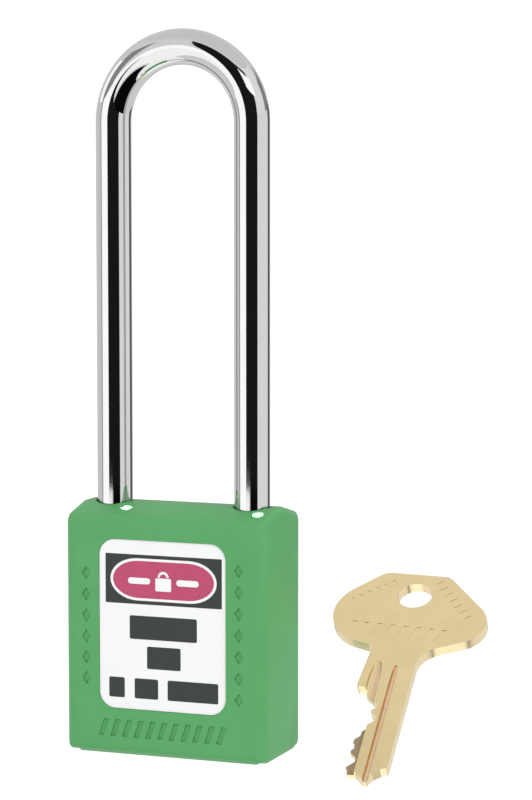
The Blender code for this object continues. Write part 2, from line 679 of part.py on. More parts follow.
def make_key():
    """The flat key: a wide bow with a ring hole, and a grooved blade whose tip points down."""
    lower = [(x * MM, z * MM, r * MM) for x, z, r in (
        (-1.9, 1.9, 0.6), (-0.1, 0.0, 0.4), (0.9, 1.8, 0.8), (2.2, 2.8, 0.5), (3.4, 3.3, 0.4)
    )]
    upper = [(x * MM, z * MM, r * MM) for x, z, r in (
        (3.45, 31.45, 5.0), (18.15, 37.27, 5.4), (5.6, 51.3, 2.6),
        (-6.4, 52.1, 2.6), (-21.8, 38.3, 7.9), (-5.15, 32.8, 1.1),
    )]
    shoulder = [(SHOULDER_LEFT, SHOULDER_Z, 0.3 * MM), (BLADE_LEFT, SHOULDER_Z - 0.2 * MM, 0)]
    corners = lower + upper + shoulder + [(x, z, 0) for x, z in cut_edge()]
    hole = circle(BOW_HOLE_RADIUS, 32, (0.0, BOW_HOLE_Z))
    half = KEY_THICKNESS / 2
    mesh = flat_mesh("key", [rounded(corners), hole], -half, half)
    key = as_part(mesh, "key", BRASS)
    # In the flat blank, z is the thickness. The front of the key is its +z face until it is stood up.
    above = half + 1 * MM
    groove_half = WARD_HALF + 0.2 * MM
    cut(key, box_mesh(
        "long_groove",
        (GROOVE_X - groove_half, -1 * MM, half - LONG_GROOVE_DEPTH),
        (GROOVE_X + groove_half, LONG_GROOVE_TOP, above),
    ))
    cut(key, box_mesh(
        "side_groove",
        (SIDE_GROOVE_LEFT, -1 * MM, half - SIDE_GROOVE_DEPTH),
        (SIDE_GROOVE_RIGHT, SIDE_GROOVE_TOP, above),
    ))
    soften = key.modifiers.new("worn_edges", "BEVEL")
    soften.width = 0.12 * MM
    soften.segments = 1
    soften.angle_limit = math.radians(60)
    stand = bpy.data.objects.new("key_stand", None)
    PARTS.objects.link(stand)
    stand.location = KEY_PLACE
    stand.rotation_mode = "XYZ"
    turn = Euler((0.0, 0.0, KEY_TURN)).to_matrix()
    lean = Euler((KEY_LEAN, 0.0, 0.0)).to_matrix()
    roll = Euler((0.0, KEY_ROLL, 0.0)).to_matrix()
    stand.rotation_euler = (turn @ lean @ roll).to_euler()
    key.parent = stand
    # Standing the blank up turns its y into height and its +z face to the front.
    key.rotation_euler = (math.radians(90), 0.0, 0.0)


make_body_shell()
make_labels()
make_bottom_cover()
make_chassis()
make_cylinder()
make_plug()
make_plug_clip()
make_pins()
make_cam()
make_balls()
make_shackle()
make_shackle_spring()
make_retaining_screw()
make_key()
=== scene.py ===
"""Looks of the long-shackle safety padlock and its key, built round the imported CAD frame."""

import math

import bmesh
import bpy
from mathutils import Euler, Matrix, Vector


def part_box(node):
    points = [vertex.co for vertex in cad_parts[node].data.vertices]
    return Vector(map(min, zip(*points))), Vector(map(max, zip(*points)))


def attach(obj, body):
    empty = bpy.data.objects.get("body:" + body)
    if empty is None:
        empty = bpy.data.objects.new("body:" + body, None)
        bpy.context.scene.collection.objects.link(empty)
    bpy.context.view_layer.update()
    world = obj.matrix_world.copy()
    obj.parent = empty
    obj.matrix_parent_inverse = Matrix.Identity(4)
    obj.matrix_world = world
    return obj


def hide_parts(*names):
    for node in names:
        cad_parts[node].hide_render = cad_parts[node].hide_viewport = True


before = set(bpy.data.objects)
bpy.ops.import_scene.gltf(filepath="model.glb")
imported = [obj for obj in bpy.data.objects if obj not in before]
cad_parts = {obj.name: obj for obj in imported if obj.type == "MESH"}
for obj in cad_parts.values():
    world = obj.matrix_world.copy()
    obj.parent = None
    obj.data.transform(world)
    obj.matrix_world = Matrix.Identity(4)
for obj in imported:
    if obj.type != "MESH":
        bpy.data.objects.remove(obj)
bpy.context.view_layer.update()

MM = 0.001

# What the CAD says, in millimetres
BODY_LOW, BODY_HIGH = (Vector(corner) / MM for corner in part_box("body_shell"))
LABEL_LOW, LABEL_HIGH = (Vector(corner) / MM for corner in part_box("label_front"))
SHACKLE_LOW, SHACKLE_HIGH = (Vector(corner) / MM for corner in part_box("shackle"))
BODY_HALF_WIDTH = BODY_HIGH.x
BODY_HALF_DEPTH = BODY_HIGH.y
BODY_HEIGHT = BODY_HIGH.z
LABEL_HALF_WIDTH = LABEL_HIGH.x
LABEL_MIDDLE_Z = (LABEL_LOW.z + LABEL_HIGH.z) / 2
LABEL_HALF_HEIGHT = (LABEL_HIGH.z - LABEL_LOW.z) / 2
LABEL_BACK_Y = -LABEL_HIGH.y
LABEL_FACE_Y = -LABEL_LOW.y
PRINT_ROOM = 0.03  # what the film leaves of the label's thickness for the print on it

# Body details that the boxes don't give
BAR_SLANT = 0.35
MARK_DEPTH = 0.28
RIDGE_HALF = 1.8
ROOF_DROP = 2.0
BASE_FLAT_HALF = 6.0
BASE_RISE = 0.9
CORNER_RADIUS = 2.9
EDGE_RADIUS = 1.3
EAVES_RADIUS = 2.2
WINDOW_MARGIN = 0.3
WINDOW_DEPTH = 0.7
WINDOW_RADIUS = 3.0
CAVITY_HALF_WIDTH = 17.65
CAVITY_HALF_DEPTH = 8.2
CAVITY_TOP = 41.4
BORE_GAP = 0.3

# Shackle
BAR_RADIUS = SHACKLE_HIGH.y
LEG_X = SHACKLE_HIGH.x - BAR_RADIUS
HEEL_END = SHACKLE_LOW.z
TOE_END = 32.0
BEND_Z = SHACKLE_HIGH.z - BAR_RADIUS - LEG_X
BALL_Z = 36.5
BALL_OUT_X = 8.1
NOTCH_RADIUS = 3.5
NECK_Z = 23.5
END_CHAMFER = 0.5

# Key, in its own plane: x across the blade, z from the tip to the bow
KEY_THICKNESS = 1.9
KEY_PLACE = Vector((40.33, -17.57, 0.65))
KEY_TURN, KEY_LEAN, KEY_ROLL = (math.radians(a) for a in (3.4, -56.5, -1.5))
BLADE_LEFT = -4.0
SHOULDER = (-6.05, 22.5)
FIRST_PIN = 4.6
PIN_PITCH = 3.1
CUT_DEPTHS = (2.6, 3.0, 0.9, 0.4, 1.2, 0.4)
HOLE_Z = 46.05
HOLE_RADIUS = 3.15
STAMP_DEPTH = 0.07
BESIDE_X = -3.3  # the middle of the shallow groove beside the deep one

# Camera: a long lens, a little to the right of the front and a little above
CAMERA_TURN = math.radians(20.9)
CAMERA_RISE = math.radians(5.57)
CAMERA_DISTANCE = 507.2
CAMERA_TARGET = Vector((15.77, 0.0, 63.45))
FOCAL_LENGTH = 130.1


# ---------------------------------------------------------------- meshes

def to_object(shape, name):
    """A new object from a bmesh in millimetres, with its faces turned outwards."""
    bmesh.ops.recalc_face_normals(shape, faces=shape.faces)
    if shape.calc_volume(signed=True) < 0:
        bmesh.ops.reverse_faces(shape, faces=shape.faces)
    bmesh.ops.scale(shape, vec=(MM, MM, MM), verts=shape.verts)
    mesh = bpy.data.meshes.new(name)
    shape.to_mesh(mesh)
    shape.free()
    made = bpy.data.objects.new(name, mesh)
    bpy.context.scene.collection.objects.link(made)
    return made


def prism(outline, low, high, place):
    """A bmesh solid between two levels of a closed flat outline. place(u, v, level) gives each point."""
    shape = bmesh.new()
    lower = [shape.verts.new(place(u, v, low)) for u, v in outline]
    upper = [shape.verts.new(place(u, v, high)) for u, v in outline]
    shape.faces.new(lower)
    shape.faces.new(upper)
    for i in range(len(outline)):
        j = (i + 1) % len(outline)
        shape.faces.new((lower[i], lower[j], upper[j], upper[i]))
    return shape


def facing_front(u, v, level):
    return (u, -level, v)


def facing_back(u, v, level):
    return (-u, level, v)


def facing_side(u, v, level):
    return (level, u, v)


def facing_up(u, v, level):
    return (u, v, level)


def arc(centre, radius, start, end, steps):
    turns = [math.radians(start + (end - start) * i / steps) for i in range(steps + 1)]
    return [(centre[0] + radius * math.cos(t), centre[1] + radius * math.sin(t)) for t in turns]


def circle(centre, radius, steps):
    return arc(centre, radius, 0, 360, steps)[:-1]


def rounded(corners, steps):
    """An outline through corners (x, y, radius), each rounded as far as the edges between them leave room."""
    count = len(corners)
    points = [Vector(corner[:2]) for corner in corners]
    backs = [(points[i - 1] - points[i]).normalized() for i in range(count)]
    aheads = [(points[(i + 1) % count] - points[i]).normalized() for i in range(count)]
    halves = [back.angle(ahead) / 2 for back, ahead in zip(backs, aheads)]
    reach = [corner[2] / math.tan(half) for corner, half in zip(corners, halves)]
    share = [1.0] * count
    for i in range(count):
        j = (i + 1) % count
        room = 0.95 * (points[j] - points[i]).length / max(reach[i] + reach[j], 1e-6)
        share[i] = min(share[i], room)
        share[j] = min(share[j], room)
    outline = []
    for i in range(count):
        radius = corners[i][2] * share[i]
        if radius < 0.01 or math.pi / 2 - halves[i] < 0.01:
            outline.append(tuple(points[i]))
            continue
        centre = points[i] + (backs[i] + aheads[i]).normalized() * radius / math.sin(halves[i])
        start = points[i] + backs[i] * radius / math.tan(halves[i]) - centre
        end = points[i] + aheads[i] * radius / math.tan(halves[i]) - centre
        sweep = start.angle_signed(end)
        first = math.atan2(start.y, start.x)
        for k in range(steps + 1):
            turn = first - sweep * k / steps
            outline.append((centre.x + radius * math.cos(turn), centre.y + radius * math.sin(turn)))
    return outline


def rounded_box(centre, half_width, half_height, radius, steps):
    x, y = centre
    w, h, r = half_width, half_height, radius
    return rounded([(x - w, y - h, r), (x + w, y - h, r), (x + w, y + h, r), (x - w, y + h, r)], steps)


def diamond(centre, half_width, half_height):
    x, y = centre
    return [(x - half_width, y), (x, y - half_height), (x + half_width, y), (x, y + half_height)]


def slanted_bar(x, z, half_width, half_height):
    lean = BAR_SLANT * half_height
    return rounded([
        (x - half_width - lean, z - half_height, 0.12), (x + half_width - lean, z - half_height, 0.12),
        (x + half_width + lean, z + half_height, 0.12), (x - half_width + lean, z + half_height, 0.12),
    ], 3)


def ball(centre, radius):
    shape = bmesh.new()
    bmesh.ops.create_uvsphere(shape, u_segments=48, v_segments=24, radius=radius)
    bmesh.ops.translate(shape, verts=shape.verts, vec=centre)
    return shape


def revolved(outline, centre_x, sides):
    """A ring turned about a vertical axis from a closed outline of (radius, height) points."""
    shape = bmesh.new()
    rings = []
    for k in range(sides):
        turn = math.tau * k / sides
        rings.append([
            shape.verts.new((centre_x + r * math.cos(turn), r * math.sin(turn), z)) for r, z in outline
        ])
    for k in range(sides):
        here, there = rings[k], rings[(k + 1) % sides]
        for i in range(len(outline)):
            j = (i + 1) % len(outline)
            shape.faces.new((here[i], here[j], there[j], there[i]))
    return shape


def baked(piece):
    """Replaces the piece's mesh with what its modifiers make of it."""
    bpy.context.view_layer.update()
    graph = bpy.context.evaluated_depsgraph_get()
    mesh = bpy.data.meshes.new_from_object(piece.evaluated_get(graph))
    piece.modifiers.clear()
    piece.data = mesh


def carve(piece, cutters):
    """Cuts the bmesh solids out of the piece one after another."""
    for shape in cutters:
        tool = to_object(shape, "tool")
        step = piece.modifiers.new("carve", "BOOLEAN")
        step.operation = "DIFFERENCE"
        step.solver = "EXACT"
        step.object = tool
        baked(piece)
        bpy.data.objects.remove(tool, do_unlink=True)


def soften(piece, width, segments, angle=35):
    """Rounds the piece's sharp edges and shades it smooth."""
    shape = bmesh.new()
    shape.from_mesh(piece.data)
    bmesh.ops.remove_doubles(shape, verts=shape.verts, dist=0.002 * MM)
    bmesh.ops.dissolve_limit(shape, angle_limit=math.radians(0.5), verts=shape.verts, edges=shape.edges)
    shape.to_mesh(piece.data)
    shape.free()
    piece.data.shade_smooth()
    bevel = piece.modifiers.new("soft_edges", "BEVEL")
    bevel.width = width * MM
    bevel.segments = segments
    bevel.limit_method = "ANGLE"
    bevel.angle_limit = math.radians(angle)
    bevel.use_clamp_overlap = True
    bevel.harden_normals = True
    bevel.miter_outer = "MITER_ARC"
    baked(piece)


def smooth(piece):
    piece.data.shade_smooth()
    piece.data.set_sharp_from_angle(angle=math.radians(30))


# ---------------------------------------------------------------- materials

def link(tree, source, output, target, socket):
    tree.links.new(source.outputs[output], target.inputs[socket])


def mapped(tree, source, low, high):
    """The source's value, spread between low and high."""
    node = tree.nodes.new("ShaderNodeMapRange")
    node.inputs["From Min"].default_value = 0.3
    node.inputs["From Max"].default_value = 0.7
    node.inputs["To Min"].default_value = low
    node.inputs["To Max"].default_value = high
    tree.links.new(source, node.inputs["Value"])
    return node.outputs["Result"]


def noise(tree, place, size, detail, stretch=(1.0, 1.0, 1.0)):
    """Noise whose blobs are about size millimetres across."""
    mapping = tree.nodes.new("ShaderNodeMapping")
    mapping.inputs["Scale"].default_value = stretch
    tree.links.new(place, mapping.inputs["Vector"])
    node = tree.nodes.new("ShaderNodeTexNoise")
    node.inputs["Scale"].default_value = 1.0 / (size * MM)
    node.inputs["Detail"].default_value = detail
    node.inputs["Roughness"].default_value = 0.55
    link(tree, mapping, "Vector", node, "Vector")
    return node.outputs["Fac"]


def finish(
    name, colour, roughness, metallic=0.0, spread=0.05, patch=6.0, grain=0.3, height=0.004,
    stretch=(1.0, 1.0, 1.0), specular=0.5,
):
    """A material with patches of tone, a changing roughness and a fine surface grain."""
    made = bpy.data.materials.new(name)
    made.use_nodes = True
    tree = made.node_tree
    shader = tree.nodes["Principled BSDF"]
    shader.inputs["Metallic"].default_value = metallic
    shader.inputs["Specular IOR Level"].default_value = specular
    place = tree.nodes.new("ShaderNodeTexCoord").outputs["Object"]
    tone = noise(tree, place, patch, 4.0)
    mix = tree.nodes.new("ShaderNodeMix")
    mix.data_type = "RGBA"
    low = tuple(c * (1 - spread) for c in colour)
    high = tuple(min(1.0, c * (1 + spread)) for c in colour)
    mix.inputs["A"].default_value = (*low, 1.0)
    mix.inputs["B"].default_value = (*high, 1.0)
    tree.links.new(mapped(tree, tone, 0.0, 1.0), mix.inputs["Factor"])
    tree.links.new(mix.outputs["Result"], shader.inputs["Base Color"])
    fine = noise(tree, place, grain, 3.0, stretch)
    tree.links.new(mapped(tree, fine, roughness * 0.8, roughness * 1.25), shader.inputs["Roughness"])
    bump = tree.nodes.new("ShaderNodeBump")
    bump.inputs["Strength"].default_value = 1.0
    bump.inputs["Distance"].default_value = height * MM
    tree.links.new(fine, bump.inputs["Height"])
    tree.links.new(bump.outputs["Normal"], shader.inputs["Normal"])
    return made


# Plastic and print shine less than the shader's usual 0.5.
MATT_SPECULAR = 0.1

GREEN = finish(
    "moulded_green", (0.088, 0.318, 0.113), 0.32, spread=0.03, patch=9.0, grain=0.45, height=0.0012,
    specular=MATT_SPECULAR,
)
GREEN_COVER = finish(
    "cover_green", (0.085, 0.300, 0.110), 0.38, spread=0.05, patch=7.0, grain=0.4, height=0.006
)
CHROME = finish(
    "bright_chrome", (0.665, 0.668, 0.660), 0.035, 1.0, spread=0.012, patch=5.0, grain=0.9, height=0.0006,
    stretch=(1.0, 1.0, 0.12),
)
FILM = finish(
    "label_white", (0.755, 0.76, 0.765), 0.36, spread=0.01, patch=4.0, grain=0.5, height=0.0004,
    specular=MATT_SPECULAR,
)
INK = finish(
    "ink_charcoal", (0.040, 0.046, 0.044), 0.32, spread=0.04, patch=1.5, grain=0.3, height=0.0006,
    specular=MATT_SPECULAR,
)
ROSE = finish(
    "ink_rose", (0.43, 0.069, 0.142), 0.32, spread=0.03, patch=1.5, grain=0.3, height=0.0006,
    specular=MATT_SPECULAR,
)
PAPER = finish(
    "ink_white", (0.77, 0.77, 0.77), 0.30, spread=0.01, patch=1.5, grain=0.3, height=0.0006,
    specular=MATT_SPECULAR,
)
KEY_BRASS = finish(
    "key_brass", (0.93, 0.75, 0.42), 0.26, 1.0, spread=0.03, patch=5.0, grain=0.25, height=0.0012,
    stretch=(1.0, 0.15, 0.15),
)
MILLED_BRASS = finish(
    "milled_brass", (0.92, 0.65, 0.43), 0.32, 1.0, spread=0.05, patch=1.2, grain=0.2, height=0.002
)
# Painted shade: a dark brass for the shallow groove's floor below 14 mm, standing in for the shade that lies
# there.
PAINTED_SHADE_BRASS = finish(
    "painted_shade_brass", (0.50, 0.35, 0.23), 0.34, 1.0, spread=0.10, patch=1.2, grain=0.2, height=0.002
)
EDGE_BRASS = finish(
    "edge_brass", (0.94, 0.79, 0.49), 0.22, 1.0, spread=0.04, patch=1.5, grain=0.3, height=0.001
)
BRASS = finish("turned_brass", (0.78, 0.62, 0.30), 0.30, 1.0, spread=0.08, patch=3.0, grain=0.2, height=0.004)
NICKEL = finish("turned_nickel", (0.70, 0.67, 0.58), 0.26, 1.0, spread=0.06, patch=3.0, grain=0.2, height=0.003)
ZINC = finish("cast_zinc", (0.48, 0.49, 0.51), 0.50, 1.0, spread=0.12, patch=4.0, grain=0.5, height=0.02)
WIRE = finish("drawn_wire", (0.52, 0.53, 0.55), 0.30, 1.0, spread=0.06, patch=2.0, grain=0.2, height=0.002)
GROUND_STEEL = finish(
    "ground_steel", (0.62, 0.63, 0.65), 0.18, 1.0, spread=0.05, patch=2.0, grain=0.2, height=0.002
)


def dress(piece, material):
    piece.data.materials.clear()
    piece.data.materials.append(material)


# ---------------------------------------------------------------- body

def body_block():
    """The outer form: a block with a low roof, its corners well rounded and its other edges a little."""
    d, h = BODY_HALF_DEPTH, BODY_HEIGHT
    section = [
        (-d, BASE_RISE), (-BASE_FLAT_HALF, 0.0), (BASE_FLAT_HALF, 0.0), (d, BASE_RISE),
        (d, h - ROOF_DROP), (RIDGE_HALF, h), (-RIDGE_HALF, h), (-d, h - ROOF_DROP),
    ]
    shape = prism(section, -BODY_HALF_WIDTH, BODY_HALF_WIDTH, facing_side)
    bmesh.ops.recalc_face_normals(shape, faces=shape.faces)
    weights = shape.edges.layers.float.new("bevel_weight_edge")
    for edge in shape.edges:
        if edge.calc_face_angle() < math.radians(40):
            continue
        run = (edge.verts[0].co - edge.verts[1].co).normalized()
        if abs(run.z) > 0.99:
            edge[weights] = 1.0
        elif abs(run.x) > 0.99 and edge.verts[0].co.z > BODY_HEIGHT / 2:
            edge[weights] = EAVES_RADIUS / CORNER_RADIUS
        else:
            edge[weights] = EDGE_RADIUS / CORNER_RADIUS
    block = to_object(shape, "body_moulding")
    bevel = block.modifiers.new("rounding", "BEVEL")
    bevel.limit_method = "WEIGHT"
    bevel.width = CORNER_RADIUS * MM
    bevel.segments = 8
    baked(block)
    return block


def mark_outlines():
    """Plain sunk marks: a column of diamonds each side of the window, and a band below it."""
    outlines = []
    for side, count, top, bottom in ((-1, 6, 32.6, 13.8), (1, 7, 34.5, 11.7)):
        for i in range(count):
            z = top + (bottom - top) * i / (count - 1)
            outlines.append(diamond((side * 14.5, z), 0.85, 1.2))
    outlines += [slanted_bar(-11.2 + 2.24 * k, 5.2, 0.5, 1.55) for k in range(11)]
    return outlines


def make_body():
    block = body_block()
    d = BODY_HALF_DEPTH
    cavity = rounded_box((0.0, 0.0), CAVITY_HALF_WIDTH, CAVITY_HALF_DEPTH, 0.8, 3)
    carve(block, [prism(cavity, -1.0, CAVITY_TOP, facing_up)])
    half_width, half_height = LABEL_HALF_WIDTH + WINDOW_MARGIN, LABEL_HALF_HEIGHT + WINDOW_MARGIN
    window = rounded_box((0.0, LABEL_MIDDLE_Z), half_width, half_height, WINDOW_RADIUS, 10)
    for facing in (facing_front, facing_back):
        carve(block, [prism(window, d - WINDOW_DEPTH, d + 1.0, facing)])
        carve(block, [prism(outline, d - MARK_DEPTH, d + 1.0, facing) for outline in mark_outlines()])
    for side in (-1, 1):
        hole = circle((side * LEG_X, 0.0), BAR_RADIUS + BORE_GAP, 64)
        carve(block, [prism(hole, CAVITY_TOP - 1.0, BODY_HEIGHT + 1.0, facing_up)])
    soften(block, 0.16, 2)
    dress(block, GREEN)
    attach(block, "root")
    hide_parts("body_shell")


# ---------------------------------------------------------------- labels

def print_on(name, outline, facing, material, level=0):
    """One printed area: a very thin plate on the label's face. A higher level lies over a lower one."""
    thick = 0.012
    base = LABEL_FACE_Y - PRINT_ROOM + level * thick
    piece = to_object(prism(outline, base, base + thick, facing), name)
    dress(piece, material)
    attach(piece, "root")


def lozenge(centre, half_width, half_height, bulge):
    """A long oval with flat top and bottom and round ends."""
    x, z = centre
    ends = []
    for side in (1, -1):
        for i in range(17):
            turn = math.radians(-90 + 180 * i / 16)
            out = half_width - bulge + bulge * math.cos(turn)
            ends.append((x + side * out, z + side * half_height * math.sin(turn)))
    return ends


def make_label(side_name, facing):
    spare = WINDOW_MARGIN - 0.05
    half_width, half_height = LABEL_HALF_WIDTH + spare, LABEL_HALF_HEIGHT + spare
    outline = rounded_box((0.0, LABEL_MIDDLE_Z), half_width, half_height, WINDOW_RADIUS - 0.05, 10)
    shape = prism(outline, LABEL_BACK_Y, LABEL_FACE_Y - PRINT_ROOM, facing)
    film = to_object(shape, f"label_{side_name}_film")
    soften(film, 0.03, 1)
    dress(film, FILM)
    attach(film, "root")
    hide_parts(f"label_{side_name}")
    header = (0.25, 31.95)
    print_on(f"{side_name}_header", rounded_box(header, 11.05, 4.4, 0.15, 2), facing, INK)
    print_on(f"{side_name}_oval_rim", lozenge(header, 10.1, 3.75, 5.2), facing, PAPER, 1)
    print_on(f"{side_name}_oval", lozenge(header, 9.6, 3.3, 4.9), facing, ROSE, 2)
    print_on(f"{side_name}_sign_body", rounded_box((0.25, 31.2), 1.5, 1.15, 0.25, 3), facing, PAPER, 3)
    bow = arc((0.25, 32.5), 1.05, 0, 180, 12) + arc((0.25, 32.5), 0.62, 180, 0, 12)
    print_on(f"{side_name}_sign_bow", bow, facing, PAPER, 3)
    for side, word in ((-1, "left"), (1, "right")):
        bar = rounded_box((0.25 + side * 4.6, 31.7), 2.1, 0.55, 0.5, 4)
        print_on(f"{side_name}_sign_bar_{word}", bar, facing, PAPER, 3)
    rows = [
        ("row_1", (0.2, 23.4), 6.4, 2.1),
        ("row_2", (0.3, 18.1), 3.2, 2.0),
        ("row_3_a", (-8.7, 12.5), 1.5, 1.8),
        ("row_3_b", (-3.05, 12.5), 2.25, 1.8),
        ("row_3_c", (5.8, 12.5), 4.8, 1.8),
    ]
    for row, centre, half_width, half_height in rows:
        print_on(f"{side_name}_{row}", rounded_box(centre, half_width, half_height, 0.3, 4), facing, INK)


# ---------------------------------------------------------------- shackle

def bar_rings():
    """(centre, direction, radius) of each ring along the bent bar, from the heel end to the toe end."""
    rings = []
    rings.append(((-LEG_X, HEEL_END), (0, 1), BAR_RADIUS - END_CHAMFER))
    rings.append(((-LEG_X, HEEL_END + END_CHAMFER), (0, 1), BAR_RADIUS))
    for z in (HEEL_END + 1.0, 28.0, 32.0, 41.0, 46.0, BEND_Z - 2.0):
        rings.append(((-LEG_X, z), (0, 1), BAR_RADIUS))
    steps = 96
    for i in range(steps + 1):
        turn = math.pi * (1 - i / steps)
        centre = (LEG_X * math.cos(turn), BEND_Z + LEG_X * math.sin(turn))
        rings.append((centre, (math.sin(turn), -math.cos(turn)), BAR_RADIUS))
    for z in (BEND_Z - 2.0, 46.0, 41.0, TOE_END + END_CHAMFER):
        rings.append(((LEG_X, z), (0, -1), BAR_RADIUS))
    rings.append(((LEG_X, TOE_END), (0, -1), BAR_RADIUS - END_CHAMFER))
    return rings


def make_shackle():
    sides = 64
    shape = bmesh.new()
    loops = []
    for (x, z), (dx, dz), radius in bar_rings():
        loop = []
        for k in range(sides):
            turn = math.tau * k / sides
            out, across = radius * math.cos(turn), radius * math.sin(turn)
            loop.append(shape.verts.new((x - dz * out, across, z + dx * out)))
        loops.append(loop)
    for here, there in zip(loops, loops[1:]):
        for k in range(sides):
            j = (k + 1) % sides
            shape.faces.new((here[k], here[j], there[j], there[k]))
    shape.faces.new(loops[0])
    shape.faces.new(loops[-1])
    bar = to_object(shape, "shackle_bar")
    carve(bar, [ball((side * BALL_OUT_X, 0.0, BALL_Z), NOTCH_RADIUS) for side in (-1, 1)])
    neck = [(x + LEG_X - BALL_OUT_X, z) for x, z in arc((0.0, NECK_Z), NOTCH_RADIUS, 90, 270, 20)]
    outline = [(5.0, neck[0][1])] + neck + [(5.0, neck[-1][1])]
    carve(bar, [revolved(outline, -LEG_X, 64)])
    smooth(bar)
    dress(bar, CHROME)
    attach(bar, "shackle")
    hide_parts("shackle")


# ---------------------------------------------------------------- key

def cut_edge():
    """The blade's cut edge from the shoulder to the tip: flats at the pins with slopes between them."""
    flat = 0.45
    full = -BLADE_LEFT
    reach = [full - depth for depth in CUT_DEPTHS]
    heights = [SHOULDER[1] - FIRST_PIN - i * PIN_PITCH for i in range(len(reach))]
    edge = [(-full, heights[0] + flat + full - reach[0], 0.15)]
    for i, (depth, z) in enumerate(zip(reach, heights)):
        edge += [(-depth, z + flat, 0.2), (-depth, z - flat, 0.2)]
        if i + 1 == len(reach):
            break
        peak = (depth + reach[i + 1] + PIN_PITCH - 2 * flat) / 2
        if peak <= full:
            edge.append((-peak, z - flat - (peak - depth), 0.15))
        else:
            edge.append((-full, z - flat - (full - depth), 0.1))
            edge.append((-full, heights[i + 1] + flat + full - reach[i + 1], 0.1))
    return edge


def key_outline():
    tip = [(-1.9, 1.9, 0.6), (-0.1, 0.0, 0.4), (0.9, 1.8, 0.8), (2.2, 2.8, 0.5), (3.4, 3.3, 0.4)]
    bow = [
        (3.45, 31.45, 5.0), (18.0, 37.25, 5.4), (5.6, 51.25, 2.6),
        (-6.4, 52.05, 2.6), (-21.7, 38.3, 7.9), (-5.15, 32.8, 1.1),
    ]
    shoulder = [(*SHOULDER, 0.5), (BLADE_LEFT, SHOULDER[1] - 0.2, 0.3)]
    return rounded(tip + bow + shoulder + cut_edge(), 10)


def milled_groove(x, half_width, depth, top, squareness):
    """A cutter for a groove up the blade's front. It narrows to a point where the milling cutter lifts out."""
    half = KEY_THICKNESS / 2
    shape = bmesh.new()
    stations = [(-1.0, 1.0), (top - 5.0, 1.0)]
    for i in range(1, 9):
        along = i / 8.5
        stations.append((top - 5.0 + 5.0 * along, math.sqrt(1 - along ** 2)))
    sections = []
    for z, share in stations:
        section = [(x + half_width * share, -half - 0.5, z)]
        for i in range(13):
            turn = math.pi * i / 12
            across = math.copysign(abs(math.cos(turn)) ** squareness, math.cos(turn))
            down = math.sin(turn) ** squareness
            section.append((x + half_width * share * across, -half + depth * share * down, z))
        section.append((x - half_width * share, -half - 0.5, z))
        sections.append([shape.verts.new(point) for point in section])
    for here, there in zip(sections, sections[1:]):
        for i in range(len(here)):
            j = (i + 1) % len(here)
            shape.faces.new((here[i], here[j], there[j], there[i]))
    shape.faces.new(sections[0])
    shape.faces.new(sections[-1])
    return shape


def stamped_marks():
    """Plain stamped marks on the bow: slanted bars across it and short ticks along its upper edges."""
    outlines = [slanted_bar(-10.2 + 2.4 * k, 37.4 - 0.24 * k, 0.5, 1.6) for k in range(8)]
    for first, last, count in (((-4.2, 49.3), (-10.9, 44.3), 6), ((4.0, 49.4), (10.7, 40.6), 7)):
        start, end = Vector(first), Vector(last)
        along = (end - start).normalized()
        inwards = Vector((-along.y, along.x))
        for k in range(count):
            middle = start.lerp(end, k / (count - 1))
            corners = ((-0.3, -0.8), (0.3, -0.8), (0.3, 0.8), (-0.3, 0.8))
            outlines.append([tuple(middle + along * u + inwards * v) for u, v in corners])
    return outlines


def milled_faces(mesh):
    """The faces that the groove cutters left: below the front face and looking out of it."""
    half = KEY_THICKNESS / 2 * MM
    for face in mesh.polygons:
        inside = -half + 0.12 * MM < face.center.y < half - 0.1 * MM
        if inside and face.normal.y < -0.12 and face.center.z < 29.5 * MM:
            yield face


def make_key():
    half = KEY_THICKNESS / 2
    blank = to_object(prism(key_outline(), -half, half, facing_front), "key_blank")
    carve(blank, [prism(circle((0.0, HOLE_Z), HOLE_RADIUS, 64), -2.0, 2.0, facing_front)])
    carve(blank, [milled_groove(0.07, 0.53, 0.75, 28.3, 0.7), milled_groove(BESIDE_X, 1.1, 0.85, 29.2, 0.35)])
    carve(blank, [prism(outline, half - STAMP_DEPTH, half + 1.0, facing_front) for outline in stamped_marks()])
    soften(blank, 0.1, 2, 40)
    dress(blank, KEY_BRASS)
    for extra in (MILLED_BRASS, PAINTED_SHADE_BRASS, EDGE_BRASS):
        blank.data.materials.append(extra)
    milled, painted_shade, edge = 1, 2, 3
    for face in blank.data.polygons:
        if abs(face.normal.y) < 0.5 and abs(face.center.y) < (half - 0.12) * MM:
            face.material_index = edge
    # Painted shade: the shallow groove's faces below 14 mm take the dark brass.
    for face in milled_faces(blank.data):
        beside = face.center.x < -1.5 * MM
        if beside and face.center.z < 14.0 * MM:
            face.material_index = painted_shade
        # The milled brass is the cut metal's own colour. In the shallow groove only the right half gets it, and
        # the left half keeps the paler key brass as painted light where light falls on that wall.
        elif not beside or face.center.x > BESIDE_X * MM:
            face.material_index = milled
    turn = Euler((0.0, 0.0, KEY_TURN)).to_matrix()
    lean = Euler((KEY_LEAN, 0.0, 0.0)).to_matrix()
    roll = Euler((0.0, KEY_ROLL, 0.0)).to_matrix()
    blank.data.transform(Matrix.Translation(KEY_PLACE * MM) @ (turn @ lean @ roll).to_4x4())
    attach(blank, "key")
    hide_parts("key")


# ---------------------------------------------------------------- carried-over CAD nodes

